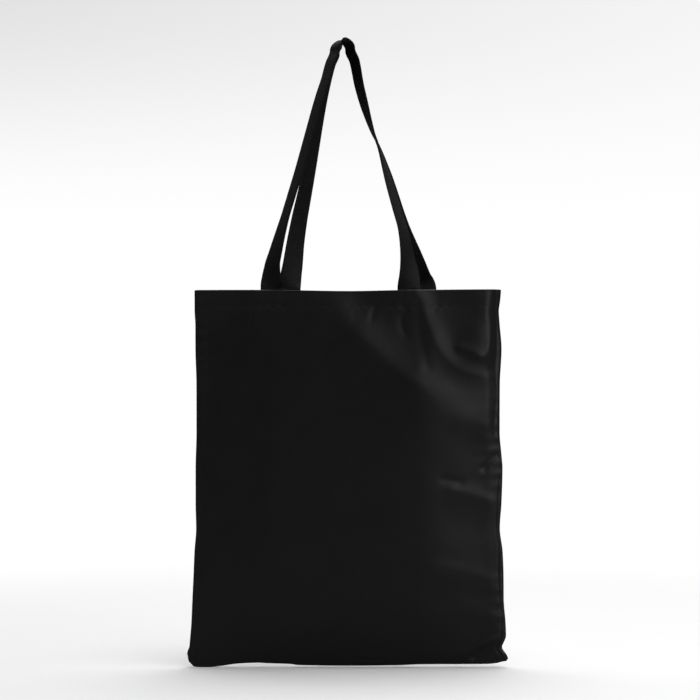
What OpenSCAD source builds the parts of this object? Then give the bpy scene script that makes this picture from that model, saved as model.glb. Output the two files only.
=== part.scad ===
// Tote bag: a front and a back panel of cloth sewn together at the sides and
// along the bottom, a turned hem at the mouth, and a webbing handle sewn inside
// each hem. It is modelled hanging by its two handles, empty.
// The origin is the middle of the bottom edge. +Z is up, and the front faces -Y.

/* [Bag] */
// Width of the mouth, side seam to side seam
mouth_w = 340; // [280:1:460]
// Height from the bottom edge to the mouth
bag_h = 420; // [300:1:520]
// How far each bottom corner stands out past the mouth
corner_flare = 7.5; // [0:0.5:14]
// Height over which the bag fills out and its sides flare
lower_h = 140; // [80:1:220]
// Half of the space between the panels where they hang flat
half_gap = 11.2; // [9:0.1:20]
// Thickness of the cloth
cloth_t = 0.8; // [0.4:0.1:1.2]

/* [Hem and seams] */
// Depth of the turned hem at the mouth
hem_w = 20; // [14:1:30]
// Width of the seam allowance inside the sides and the bottom
seam_w = 9; // [6:0.5:14]
// Free space between a panel and the seam allowance that it moves over
seam_play = 0.3; // [0.2:0.1:0.8]

/* [Handles] */
// Width of the webbing
webbing_w = 25; // [18:1:34]
// Thickness of the webbing
webbing_t = 1.5; // [1:0.1:2.2]
// Distance between the middles of one handle's two legs
handle_spacing = 152; // [120:1:170]
// Height of the handles' top above the mouth
handle_rise = 278; // [200:1:340]
// Sideways place of the front handle's middle, off the bag's middle
front_handle_x = -8; // [-14:1:14]
// Sideways place of the back handle's middle, off the bag's middle
back_handle_x = 11; // [-14:1:14]
// Sideways place of the top, where both handles are held
hang_x = -4; // [-20:1:20]
// Radius of the handles' fold over what holds them
fold_r = 6; // [4:0.5:15]

/* [Thread] */
// Thickness of the sewing thread
thread_d = 0.3; // [0.2:0.1:0.5]
// Distance from one stitch to the next
stitch_pitch = 7; // [4:0.5:10]
// Length of a stitch that shows
stitch_l = 5; // [2:0.5:6]
// Margin between a handle's box of stitches and the webbing's edges
tack_margin = 3.5; // [2:0.5:5]

/* [Hidden] */

cloth_colour = [0.09, 0.09, 0.1];
hem_colour = [0.11, 0.11, 0.12];
webbing_colour = [0.07, 0.07, 0.08];
seam_colour = [0.13, 0.13, 0.14];
thread_colour = [0.2, 0.2, 0.21];

// The two layers of a seam allowance, and where the panels stand beside it.
seam_t = 2 * cloth_t;
edge_gap = seam_t / 2 + thread_d / 2 + seam_play;

// The stretch between and beside the handles hangs flat. Past it, the panel
// curves in to the side seam. Both are shares of the half width.
flat_margin = 3;
handle_reach = handle_spacing / 2 + max(abs(front_handle_x), abs(back_handle_x));
flat_share = (handle_reach + webbing_w / 2 + flat_margin) / (mouth_w / 2);
hem_share = 1 - (seam_w + 1) / (mouth_w / 2);
curve_steps = 7;
lower_steps = 9;

// A webbing end lies on the hem's inner face. The loop starts just above it.
webbing_y = half_gap - cloth_t - webbing_t / 2;
// Its first ring is level with the hem, and it leans in over a share of its rise.
loop_lift = 1;
lean_share = 0.1;
leg_steps = 22;
fold_steps = 8;
// Space between the two handles where they hang side by side.
handle_play = 1;
handle_top_y = webbing_w / 2 + handle_play;

// How far each leg has turned about its own length, in degrees, against its
// share of the way up. A left leg starts at 0 and a right leg at 180.
front_left_turn = [[0, 0], [0.06, 32], [0.12, 52], [0.25, 64], [1, 66]];
front_right_turn = [[0, 180], [0.2, 130], [0.45, 114], [0.63, 90], [0.8, 72], [1, 66]];
back_left_turn = [[0, 0], [0.08, 24], [0.24, 46], [0.45, 60], [1, 66]];
back_right_turn = [[0, 180], [0.2, 140], [0.45, 116], [0.63, 92], [0.8, 74], [1, 66]];

// How far each leg bows out sideways between its two ends.
front_left_bow = 8;
front_right_bow = 9;
back_left_bow = 8;
back_right_bow = 3;

function smooth(u) = u * u * (3 - 2 * u);

// Half width of the bag at a height: straight, then flaring to the corners.
function side_x(z) = mouth_w / 2 + corner_flare * pow(max(0, 1 - z / lower_h), 2);

// How full the bag is across (a share of the half width) and up.
function across(a) =
    1 - smooth(min(1, max(0, (abs(a) - flat_share) / (1 - flat_share))));
function upward(z) = 1 - pow(1 - min(1, z / lower_h), 2);

// The inner face of a panel, as its distance from the bag's middle plane.
function inner_y(a, z) = edge_gap + (half_gap - edge_gap) * across(a) * upward(z);

// Columns of a panel on one side, from the flat stretch to the hem's end.
curve_cols = [
    for (i = [0 : curve_steps]) flat_share + (hem_share - flat_share) * i / curve_steps
];
half_cols = concat(curve_cols, [1]);
function both_sides(cols) = concat(
    [for (i = [len(cols) - 1 : -1 : 0]) -cols[i]],
    cols
);
lower_rows = [for (j = [0 : lower_steps]) lower_h * j / lower_steps];
panel_rows = concat(lower_rows, [bag_h - hem_w, bag_h]);

// A sheet of cloth between two distances from the inner face, on the -Y side.
module sheet(cols, rows, from_y, to_y) {
    nc = len(cols);
    nr = len(rows);
    skin = nc * nr;
    function at(a, z, off) = [a * side_x(z), -(inner_y(a, z) + off), z];
    outer_points = [for (z = rows) for (a = cols) at(a, z, to_y)];
    inner_points = [for (z = rows) for (a = cols) at(a, z, from_y)];
    outer_faces = [
        for (j = [0 : nr - 2]) for (i = [0 : nc - 2])
            each let (p = j * nc + i) [[p, p + nc, p + 1], [p + 1, p + nc, p + nc + 1]]
    ];
    inner_faces = [for (f = outer_faces) [f[0] + skin, f[2] + skin, f[1] + skin]];
    rim = concat(
        [for (i = [0 : nc - 1]) i],
        [for (j = [1 : nr - 1]) j * nc + nc - 1],
        [for (i = [nc - 2 : -1 : 0]) (nr - 1) * nc + i],
        [for (j = [nr - 2 : -1 : 1]) j * nc]
    );
    rim_faces = [
        for (k = [0 : len(rim) - 1])
            each let (p = rim[k], q = rim[(k + 1) % len(rim)])
                [[p, q, p + skin], [q, q + skin, p + skin]]
    ];
    polyhedron(
        concat(outer_points, inner_points),
        concat(outer_faces, inner_faces, rim_faces)
    );
}

module cloth_panel() {
    sheet(both_sides(half_cols), panel_rows, 0, cloth_t);
}

module hem() {
    sheet(both_sides(curve_cols), [bag_h - hem_w, bag_h], -cloth_t, 0);
}

// Seam allowances: the panels' edges, laid together inside the bag.
seam_rows = concat([0, seam_w], [for (z = lower_rows) if (z > seam_w) z], [bag_h]);

module side_seam() {
    outline = concat(
        [for (z = seam_rows) [side_x(z), z]],
        [for (j = [len(seam_rows) - 1 : -1 : 0]) [side_x(seam_rows[j]) - seam_w, seam_rows[j]]]
    );
    rotate([90, 0, 0])
        linear_extrude(seam_t, center = true)
            polygon(outline);
}

module bottom_seam() {
    low = side_x(0) - seam_w;
    high = side_x(seam_w) - seam_w;
    color(seam_colour)
        rotate([90, 0, 0])
            linear_extrude(seam_t, center = true)
                polygon([[-low, 0], [low, 0], [high, seam_w], [-high, seam_w]]);
}

// One ring of webbing: its four corners about a point of the handle's path.
function unit(v) = v / norm(v);
function ring(p, along, turn) =
    let (
        flat = [cos(turn), -sin(turn), 0],
        wide = unit(flat - (flat * along) * along) * webbing_w / 2,
        thick = cross(along, unit(wide)) * webbing_t / 2
    )
    [p + wide + thick, p - wide + thick, p - wide - thick, p + wide - thick];

// Distance from the middle plane: the handles move apart as they turn edge on.
function handle_y(turn) = webbing_y + (handle_top_y - webbing_y) * sin(turn);

// A leg from its base up to the fold.
top_z = bag_h + handle_rise - fold_r - webbing_t / 2;
function leg_x(u, base, bow, side) =
    base + (hang_x + side * fold_r - base) * u + side * bow * 4 * u * (1 - u);
function leg_z(u) = bag_h + loop_lift + (top_z - bag_h - loop_lift) * u;
function leg_point(u, base, bow, side, turns) =
    [leg_x(u, base, bow, side), -handle_y(lookup(u, turns)), leg_z(u)];
function leg_rings(base, bow, side, turns) = [
    for (k = [0 : leg_steps])
        let (
            u = k / leg_steps,
            step = 0.5 / leg_steps,
            low = leg_point(max(0, u - step), base, bow, side, turns),
            high = leg_point(min(1, u + step), base, bow, side, turns),
            lean = min(1, u / lean_share),
            along = unit((1 - lean) * [0, 0, 1] + lean * unit(high - low))
        )
        ring(leg_point(u, base, bow, side, turns), along * -side, lookup(u, turns))
];
function fold_rings(turn) = [
    for (k = [1 : fold_steps - 1])
        let (
            angle = 180 - 180 * k / fold_steps,
            p = [
                hang_x + fold_r * cos(angle), -handle_y(turn), top_z + fold_r * sin(angle)
            ]
        )
        ring(p, [sin(angle), 0, -cos(angle)], turn)
];
function reversed(list) = [for (i = [len(list) - 1 : -1 : 0]) list[i]];

module webbing(rings) {
    last = 4 * (len(rings) - 1);
    sides = [
        for (r = [0 : len(rings) - 2]) for (c = [0 : 3])
            each let (p = 4 * r + c, q = 4 * r + (c + 1) % 4)
                [[p, q, p + 4], [q, q + 4, p + 4]]
    ];
    caps = [[0, 2, 1], [0, 3, 2], [last, last + 1, last + 2], [last, last + 2, last + 3]];
    polyhedron([for (r = rings) each r], concat(caps, sides));
}

module handle_loop(middle, left_bow, right_bow, left_turns, right_turns) {
    left = leg_rings(middle - handle_spacing / 2, left_bow, -1, left_turns);
    right = leg_rings(middle + handle_spacing / 2, right_bow, 1, right_turns);
    fold = fold_rings(lookup(1, left_turns));
    webbing(concat(left, fold, reversed(right)));
}

// The sewn ends of a handle, flat on the hem's inner face.
module handle_ends(middle) {
    for (side = [-1, 1])
        translate([
            middle + side * handle_spacing / 2 - webbing_w / 2,
            -webbing_y - webbing_t / 2,
            bag_h - hem_w
        ])
            cube([webbing_w, webbing_t, hem_w]);
}

// A row of stitches along the hem, on the panel's outer face.
hem_stitch_z = bag_h - hem_w + 2;
function outer_at(x) = inner_y(x / (mouth_w / 2), bag_h) + cloth_t;

module hem_stitches() {
    reach = hem_share * mouth_w / 2 - stitch_l;
    count = floor(reach / stitch_pitch);
    for (k = [-count : count]) {
        x = k * stitch_pitch;
        rise = outer_at(x + stitch_l / 2) - outer_at(x - stitch_l / 2);
        translate([x, -outer_at(x), hem_stitch_z])
            rotate([0, 0, -atan2(rise, stitch_l)])
                cube([stitch_l, thread_d, thread_d], center = true);
    }
}

// Stitches through the seam allowances, on both of their faces.
module side_stitches() {
    count = floor((bag_h - seam_w) / stitch_pitch) - 1;
    for (k = [0 : count], face = [-1, 1]) {
        z = seam_w + (k + 0.5) * stitch_pitch;
        lean = side_x(z + stitch_l / 2) - side_x(z - stitch_l / 2);
        translate([side_x(z) - seam_w / 2, face * seam_t / 2, z])
            rotate([0, atan2(lean, stitch_l), 0])
                cube([thread_d, thread_d, stitch_l], center = true);
    }
}

module bottom_stitches() {
    count = floor((side_x(seam_w) - 2 * seam_w) / stitch_pitch);
    for (k = [-count : count], face = [-1, 1])
        translate([k * stitch_pitch, face * seam_t / 2, seam_w / 2])
            cube([stitch_l, thread_d, thread_d], center = true);
}

// A box of stitches with a cross in it, which holds one end of a handle.
module tack_outline() {
    w = webbing_w - 2 * tack_margin;
    h = hem_w - 2 * tack_margin;
    difference() {
        square([w, h], center = true);
        square([w - 2 * thread_d, h - 2 * thread_d], center = true);
    }
    for (side = [-1, 1])
        rotate(side * atan2(h, w))
            square([norm([w, h]) - thread_d, thread_d], center = true);
}

module tack(x) {
    outer_face = half_gap + cloth_t;
    inner_face = webbing_y - webbing_t / 2;
    for (face = [outer_face, inner_face])
        translate([x, -face, bag_h - hem_w / 2])
            rotate([90, 0, 0])
                linear_extrude(thread_d, center = true)
                    tack_outline();
}

module to_back() {
    mirror([0, 1, 0])
        children();
}

module front_panel() {
    color(cloth_colour)
        cloth_panel();
}

module back_panel() {
    color(cloth_colour)
        to_back()
            cloth_panel();
}

module front_hem() {
    color(hem_colour)
        hem();
}

module back_hem() {
    color(hem_colour)
        to_back()
            hem();
}

module left_side_seam() {
    color(seam_colour)
        mirror([1, 0, 0])
            side_seam();
}

module right_side_seam() {
    color(seam_colour)
        side_seam();
}

module front_handle() {
    color(webbing_colour)
        handle_loop(
            front_handle_x, front_left_bow, front_right_bow,
            front_left_turn, front_right_turn
        );
}

module back_handle() {
    color(webbing_colour)
        to_back()
            handle_loop(
                back_handle_x, back_left_bow, back_right_bow,
                back_left_turn, back_right_turn
            );
}

module front_handle_ends() {
    color(webbing_colour)
        handle_ends(front_handle_x);
}

module back_handle_ends() {
    color(webbing_colour)
        to_back()
            handle_ends(back_handle_x);
}

module front_hem_stitching() {
    color(thread_colour)
        hem_stitches();
}

module back_hem_stitching() {
    color(thread_colour)
        to_back()
            hem_stitches();
}

module left_side_stitching() {
    color(thread_colour)
        mirror([1, 0, 0])
            side_stitches();
}

module right_side_stitching() {
    color(thread_colour)
        side_stitches();
}

module bottom_stitching() {
    color(thread_colour)
        bottom_stitches();
}

module front_left_tack() {
    color(thread_colour)
        tack(front_handle_x - handle_spacing / 2);
}

module front_right_tack() {
    color(thread_colour)
        tack(front_handle_x + handle_spacing / 2);
}

module back_left_tack() {
    color(thread_colour)
        to_back()
            tack(back_handle_x - handle_spacing / 2);
}

module back_right_tack() {
    color(thread_colour)
        to_back()
            tack(back_handle_x + handle_spacing / 2);
}

front_panel();
back_panel();
front_hem();
back_hem();
left_side_seam();
right_side_seam();
bottom_seam();
front_handle();
back_handle();
front_handle_ends();
back_handle_ends();
front_hem_stitching();
back_hem_stitching();
left_side_stitching();
right_side_stitching();
bottom_stitching();
front_left_tack();
front_right_tack();
back_left_tack();
back_right_tack();
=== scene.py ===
"""A black fabric shopper with two webbing handles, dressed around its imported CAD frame.

The bag hangs by its handles. Its cloth, straps, seams and stitches are soft pieces that stand for CAD solids.
"""

import logging
import math
from collections.abc import Callable, Sequence
from dataclasses import dataclass, field
from enum import Enum

import bmesh
import bpy
import numpy as np
from mathutils import Matrix, Vector, noise


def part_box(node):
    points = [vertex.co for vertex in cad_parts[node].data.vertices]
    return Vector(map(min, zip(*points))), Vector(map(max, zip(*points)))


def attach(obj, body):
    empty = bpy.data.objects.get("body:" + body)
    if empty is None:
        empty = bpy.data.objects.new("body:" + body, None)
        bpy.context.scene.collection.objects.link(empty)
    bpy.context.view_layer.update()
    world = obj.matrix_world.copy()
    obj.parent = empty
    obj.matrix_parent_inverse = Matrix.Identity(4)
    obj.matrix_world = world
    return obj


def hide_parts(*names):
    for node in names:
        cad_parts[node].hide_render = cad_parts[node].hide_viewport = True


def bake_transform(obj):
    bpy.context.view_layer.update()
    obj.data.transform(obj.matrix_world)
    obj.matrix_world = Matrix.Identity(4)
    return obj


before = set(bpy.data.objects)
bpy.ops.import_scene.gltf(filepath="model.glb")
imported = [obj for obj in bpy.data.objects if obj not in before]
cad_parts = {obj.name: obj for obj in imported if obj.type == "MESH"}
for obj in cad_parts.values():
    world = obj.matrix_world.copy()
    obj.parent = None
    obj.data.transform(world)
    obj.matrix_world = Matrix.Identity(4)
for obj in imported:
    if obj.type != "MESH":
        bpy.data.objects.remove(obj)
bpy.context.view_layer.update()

LOG = logging.getLogger("shopper")
MM = 0.001


class Face(Enum):
    """The two faces of the bag, valued by the way they look along Y."""

    FRONT = -1
    BACK = 1

    @property
    def label(self) -> str:
        """The word that this face's pieces and nodes start with."""
        return self.name.lower()


class Half(Enum):
    """The left or right half of a face, valued by its way along X."""

    LEFT = -1
    RIGHT = 1

    @property
    def label(self) -> str:
        """The word that this half's pieces end with."""
        return self.name.lower()


# Curves and small maths


def smooth(value: np.ndarray) -> np.ndarray:
    """A soft step from 0 to 1 as value goes from 0 to 1."""
    held = np.clip(value, 0.0, 1.0)
    return held * held * (3.0 - 2.0 * held)


def bell(distance: np.ndarray, width: float) -> np.ndarray:
    """A bump of height 1 that has fallen to a seventh one width away."""
    return np.exp(-2.0 * (distance / width) ** 2)


def run_along(line: np.ndarray) -> np.ndarray:
    """How far along a line of points each of them is."""
    return np.concatenate([[0.0], np.cumsum(np.linalg.norm(np.diff(line, axis=0), axis=1))])


def points_along(line: np.ndarray, runs: np.ndarray) -> np.ndarray:
    """The points of a line at these distances along it."""
    return np.stack([np.interp(runs, run_along(line), line[:, k]) for k in range(3)], axis=1)


def unit_rows(rows: np.ndarray) -> np.ndarray:
    """These vectors, one row each, brought to length 1."""
    return rows / np.linalg.norm(rows, axis=1, keepdims=True)


@dataclass(frozen=True)
class Curve:
    """A soft curve through keyed values.

    Args:
        keys: Pairs of place and value, in rising order of place.
    """

    keys: tuple[tuple[float, float], ...]

    def at(self, place: np.ndarray) -> np.ndarray:
        """The curve's value, eased between keys without overshoot.

        Args:
            place: Where to read the curve.

        Returns:
            The values there, held flat beyond the first and last key.
        """
        spots = np.array([key[0] for key in self.keys])
        values = np.array([key[1] for key in self.keys])
        steps = np.diff(values) / np.diff(spots)
        slopes = np.zeros_like(values)
        inner = steps[:-1] * steps[1:] > 0
        slopes[1:-1][inner] = 2.0 * (steps[:-1] * steps[1:])[inner] / (steps[:-1] + steps[1:])[inner]
        held = np.clip(place, spots[0], spots[-1])
        index = np.clip(np.searchsorted(spots, held, side="right") - 1, 0, len(spots) - 2)
        span = spots[index + 1] - spots[index]
        t = (held - spots[index]) / span
        rest = 1.0 - t
        return (
            values[index] * (1.0 + 2.0 * t) * rest**2
            + slopes[index] * span * t * rest**2
            + values[index + 1] * t**2 * (3.0 - 2.0 * t)
            - slopes[index + 1] * span * t**2 * rest
        )


@dataclass(frozen=True)
class Fold:
    """A ridge or a valley that runs over the cloth, all its sizes in millimetres.

    Args:
        line: Points (x, z) that the fold's crest follows.
        left: How wide the fold is on the left of that way.
        right: How wide it is on the right.
        height: How far the crest stands out, negative for a valley.
        power: 2 for a round crest, nearer to 1 for a sharp one.
        detail: How many steps of the crest lie between two points of the line.
        reach: How steeply the fold falls: it has all but gone one width from its crest.
    """

    line: tuple[tuple[float, float], ...]
    left: float
    right: float
    height: float
    power: float = 2.0
    detail: int = 6
    reach: float = 1.4

    def crest(self) -> list[Vector]:
        """The crest as a fine line of points."""
        points = [Vector(p) for p in (self.line[0], *self.line, self.line[-1])]
        fine = []
        for a, b, c, d in zip(points, points[1:], points[2:], points[3:]):
            for k in range(self.detail):
                t = k / self.detail
                bend = (2 * a - 5 * b + 4 * c - d) * t**2 + (3 * b - a - 3 * c + d) * t**3
                fine.append(0.5 * (2 * b + (c - a) * t + bend))
        return [*fine, points[-1]]

    def lift(self, x: np.ndarray, z: np.ndarray) -> np.ndarray:
        """How far the fold moves the cloth outwards.

        Args:
            x: Places across the cloth.
            z: Heights on the cloth.

        Returns:
            The outward moves there.
        """
        crest = self.crest()
        x, z = x / MM, z / MM
        nearest = np.full(x.shape, np.inf)
        side = np.zeros(x.shape)
        for a, b in zip(crest, crest[1:]):
            run, rise = b.x - a.x, b.y - a.y
            length = math.hypot(run, rise)
            t = np.clip(((x - a.x) * run + (z - a.y) * rise) / length**2, 0.0, 1.0)
            away_x, away_z = x - a.x - t * run, z - a.y - t * rise
            gap = np.hypot(away_x, away_z)
            turn = (run * away_z - rise * away_x) / (length * np.maximum(gap, 1e-9))
            closer = gap < nearest
            nearest = np.where(closer, gap, nearest)
            side = np.where(closer, turn, side)
        width = self.right + (self.left - self.right) * smooth(0.5 + 0.5 * side)
        return self.height * MM * np.exp(-((self.reach * nearest / width) ** self.power))


@dataclass(frozen=True)
class Ripple:
    """Gentle uneven swells over a whole cloth.

    Args:
        height: The largest outward move.
        size: How far apart the swells are.
        seed: Which stretch of the noise is used.
    """

    height: float
    size: float
    seed: float

    def lift(self, x: np.ndarray, z: np.ndarray) -> np.ndarray:
        """The outward moves at these places."""
        points = zip(x.ravel() / self.size, z.ravel() / self.size)
        values = [noise.noise(Vector((a, b, self.seed))) for a, b in points]
        return self.height * np.array(values).reshape(x.shape)


# Mesh making


def woven_grid(
    columns: int, rows: int, place: Callable[[np.ndarray, np.ndarray], np.ndarray], size: tuple[float, float]
) -> bpy.types.Mesh:
    """A grid of cloth bent into shape, with its UV map in metres.

    Args:
        columns: Faces along the first way.
        rows: Faces along the second way.
        place: Gives the positions of column and row numbers, as an array of points.
        size: The grid's flat size, for its UV map.

    Returns:
        The mesh, still open.
    """
    shape = bmesh.new()
    shape.loops.layers.uv.new("cloth")
    bmesh.ops.create_grid(shape, x_segments=columns, y_segments=rows, size=0.5, calc_uvs=True)
    mesh = bpy.data.meshes.new("cloth")
    shape.to_mesh(mesh)
    shape.free()
    flat = np.empty(len(mesh.vertices) * 3)
    mesh.vertices.foreach_get("co", flat)
    flat = flat.reshape(-1, 3) + 0.5
    bent = place(np.rint(flat[:, 0] * columns).astype(int), np.rint(flat[:, 1] * rows).astype(int))
    mesh.vertices.foreach_set("co", bent.ravel())
    spread = np.empty(len(mesh.loops) * 2)
    mesh.uv_layers["cloth"].data.foreach_get("uv", spread)
    mesh.uv_layers["cloth"].data.foreach_set("uv", (spread.reshape(-1, 2) * np.array(size)).ravel())
    mesh.update()
    return mesh


def closed_sweep(centres: np.ndarray, rims: np.ndarray, size: tuple[float, float]) -> bpy.types.Mesh:
    """A solid strip or cord swept through rings, with its two ends closed.

    Args:
        centres: The rings' middle points, one row each.
        rims: For each ring, the offsets of its points from the middle, the last point the same as the first.
        size: The strip's length and the way round it, for its UV map.

    Returns:
        The closed mesh, faces outwards.
    """
    rings, around = rims.shape[0], rims.shape[1]
    points = centres[:, None, :] + rims
    mesh = woven_grid(rings - 1, around - 1, lambda i, j: points[i, j], size)
    shape = bmesh.new()
    shape.from_mesh(mesh)
    bmesh.ops.remove_doubles(shape, verts=shape.verts, dist=1e-6)
    bmesh.ops.holes_fill(shape, edges=[edge for edge in shape.edges if edge.is_boundary], sides=around)
    bmesh.ops.recalc_face_normals(shape, faces=shape.faces)
    shape.to_mesh(mesh)
    shape.free()
    return mesh


def place_piece(
    name: str, mesh: bpy.types.Mesh, material: bpy.types.Material, sharp: float = 50.0
) -> bpy.types.Object:
    """Links a finished mesh as a piece, smooth but for its sharp edges.

    Args:
        name: The piece's name.
        mesh: Its mesh, with its place in it.
        material: Its finish.
        sharp: Edges that turn more than this, in degrees, stay sharp.

    Returns:
        The new object, at the origin.
    """
    mesh.name = name
    mesh.materials.clear()
    mesh.materials.append(material)
    mesh.shade_smooth()
    mesh.set_sharp_from_angle(angle=math.radians(sharp))
    piece = bpy.data.objects.new(name, mesh)
    bpy.context.scene.collection.objects.link(piece)
    return piece


def with_thickness(mesh: bpy.types.Mesh, thickness: float, flip: bool) -> bpy.types.Mesh:
    """Gives an open cloth its thickness, on the side away from its face.

    Args:
        mesh: The open cloth.
        thickness: How thick it is.
        flip: True where the cloth's face looks the wrong way and is turned first.

    Returns:
        The closed mesh.
    """
    if flip:
        mesh.flip_normals()
    carrier = bpy.data.objects.new("carrier", mesh)
    bpy.context.scene.collection.objects.link(carrier)
    wall = carrier.modifiers.new("thickness", "SOLIDIFY")
    wall.thickness = thickness
    wall.offset = -1.0
    graph = bpy.context.evaluated_depsgraph_get()
    solid = bpy.data.meshes.new_from_object(carrier.evaluated_get(graph))
    bpy.data.objects.remove(carrier)
    bpy.data.meshes.remove(mesh)
    return solid


def stitched_mesh(stitches: Sequence[tuple[Vector, Vector]], thickness: float) -> bpy.types.Mesh:
    """A row of thread stitches as one mesh.

    Args:
        stitches: The two ends of each stitch.
        thickness: The thread's diameter.

    Returns:
        The mesh, one rounded slug for each stitch.
    """
    shape = bmesh.new()
    bmesh.ops.create_uvsphere(shape, u_segments=6, v_segments=5, radius=1.0)
    slug = bpy.data.meshes.new("slug")
    shape.to_mesh(slug)
    shape.clear()
    for first, last in stitches:
        along = last - first
        turn = along.to_track_quat("Z", "Y").to_matrix().to_4x4()
        size = Matrix.Diagonal((thickness / 2, thickness / 2, along.length / 2, 1.0))
        copy = slug.copy()
        copy.transform(Matrix.Translation((first + last) / 2) @ turn @ size)
        shape.from_mesh(copy)
        bpy.data.meshes.remove(copy)
    mesh = bpy.data.meshes.new("stitches")
    shape.to_mesh(mesh)
    shape.free()
    return mesh


# Shader making

COLOUR_SHARE, COLOUR_LOW, COLOUR_HIGH, COLOUR_RESULT = 0, 6, 7, 2
Shade = tuple[float, float, float, float] | bpy.types.NodeSocket
WHITE = (1.0, 1.0, 1.0, 1.0)


class Wire:
    """A number that varies over a surface, with Python's own operators for shader maths."""

    def __init__(self, shader: "Shader", socket: bpy.types.NodeSocket) -> None:
        """Keeps the socket and the tree that it is in."""
        self.shader = shader
        self.socket = socket

    def maths(self, operation: str, *values: "Wire | float") -> "Wire":
        """A Math node on these values.

        Args:
            operation: The Math node's operation.
            values: Its inputs, wires or numbers, in order.

        Returns:
            The result as a wire.
        """
        node = self.shader.node("ShaderNodeMath", {"operation": operation}, dict(enumerate(values)))
        return Wire(self.shader, node.outputs[0])

    def __add__(self, other: "Wire | float") -> "Wire":
        """self + other."""
        return self.maths("ADD", self, other)

    def __radd__(self, other: float) -> "Wire":
        """other + self."""
        return self.maths("ADD", other, self)

    def __sub__(self, other: "Wire | float") -> "Wire":
        """self - other."""
        return self.maths("SUBTRACT", self, other)

    def __rsub__(self, other: float) -> "Wire":
        """other - self."""
        return self.maths("SUBTRACT", other, self)

    def __mul__(self, other: "Wire | float") -> "Wire":
        """self * other."""
        return self.maths("MULTIPLY", self, other)

    def __rmul__(self, other: float) -> "Wire":
        """other * self."""
        return self.maths("MULTIPLY", other, self)

    def sine(self) -> "Wire":
        """The sine, in radians."""
        return self.maths("SINE", self)

    def size(self) -> "Wire":
        """The value without its sign."""
        return self.maths("ABSOLUTE", self)

    def root(self) -> "Wire":
        """The square root."""
        return self.maths("SQRT", self)

    def top(self, other: "Wire | float") -> "Wire":
        """The larger of the two."""
        return self.maths("MAXIMUM", self, other)

    def step(self, low: float, high: float) -> "Wire":
        """A soft step from 0 at low to 1 at high."""
        node = self.shader.node(
            "ShaderNodeMapRange",
            {"interpolation_type": "SMOOTHSTEP"},
            {"Value": self, "From Min": low, "From Max": high},
        )
        return Wire(self.shader, node.outputs["Result"])


class Shader:
    """A node tree, and the one way that nodes come into it."""

    def __init__(self, tree: bpy.types.NodeTree) -> None:
        """Starts from an empty tree."""
        self.tree = tree
        self.tree.nodes.clear()

    def node(self, kind: str, settings: dict | None = None, values: dict | None = None) -> bpy.types.Node:
        """Adds a node.

        Args:
            kind: The node's type.
            settings: Its own settings, set first.
            values: What its sockets hold, by name or number: a wire, a socket or a constant.

        Returns:
            The new node.
        """
        made = self.tree.nodes.new(kind)
        for name, value in (settings or {}).items():
            setattr(made, name, value)
        for name, value in (values or {}).items():
            if isinstance(value, Wire):
                value = value.socket
            if isinstance(value, bpy.types.NodeSocket):
                self.tree.links.new(value, made.inputs[name])
            else:
                made.inputs[name].default_value = value
        return made

    def object_place(self) -> tuple[Wire, Wire, Wire, bpy.types.NodeSocket]:
        """The place on the object: x, y and z as wires, and the three together."""
        place = self.node("ShaderNodeTexCoord").outputs["Object"]
        parts = self.node("ShaderNodeSeparateXYZ", values={0: place})
        return (*(Wire(self, parts.outputs[k]) for k in range(3)), place)

    def cloth_place(self) -> tuple[Wire, Wire]:
        """The place on the piece's own UV map, in metres: along, and round."""
        place = self.node("ShaderNodeUVMap", {"uv_map": "cloth"}).outputs["UV"]
        parts = self.node("ShaderNodeSeparateXYZ", values={0: place})
        return Wire(self, parts.outputs[0]), Wire(self, parts.outputs[1])

    def together(self, x: Wire | float, y: Wire | float, z: Wire | float) -> bpy.types.NodeSocket:
        """Three numbers as one vector."""
        return self.node("ShaderNodeCombineXYZ", values={0: x, 1: y, 2: z}).outputs[0]

    def cloudy(self, place: bpy.types.NodeSocket, scale: float, detail: float = 2.0) -> Wire:
        """Noise from 0 to 1, with this many swells to a metre."""
        values = {"Vector": place, "Scale": scale, "Detail": detail, "Roughness": 0.55}
        return Wire(self, self.node("ShaderNodeTexNoise", values=values).outputs["Fac"])

    def between(self, share: Wire, low: Shade, high: Shade) -> bpy.types.NodeSocket:
        """A colour between two, by share."""
        values = {COLOUR_SHARE: share, COLOUR_LOW: low, COLOUR_HIGH: high}
        return self.node("ShaderNodeMix", {"data_type": "RGBA"}, values).outputs[COLOUR_RESULT]

    def bumped(self, height: Wire) -> bpy.types.NodeSocket:
        """The normal of a surface that stands out by height, in metres."""
        values = {"Height": height, "Strength": 1.0, "Distance": 1.0}
        return self.node("ShaderNodeBump", values=values).outputs["Normal"]

    def surface(self, values: dict) -> None:
        """Ends the tree in a Principled shader with these inputs."""
        shell = self.node("ShaderNodeBsdfPrincipled", values=values)
        self.node("ShaderNodeOutputMaterial", values={"Surface": shell.outputs[0]})


def new_material(name: str) -> tuple[bpy.types.Material, Shader]:
    """An empty material of this name, and its shader."""
    material = bpy.data.materials.new(name)
    material.use_nodes = True
    return material, Shader(material.node_tree)


def dyed(level: float, warmth: float = 0.0) -> tuple[float, float, float, float]:
    """A near grey dye of this level, a little warmer or cooler."""
    return (level * (1.0 + warmth), level, level * (1.0 - warmth), 1.0)


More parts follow.
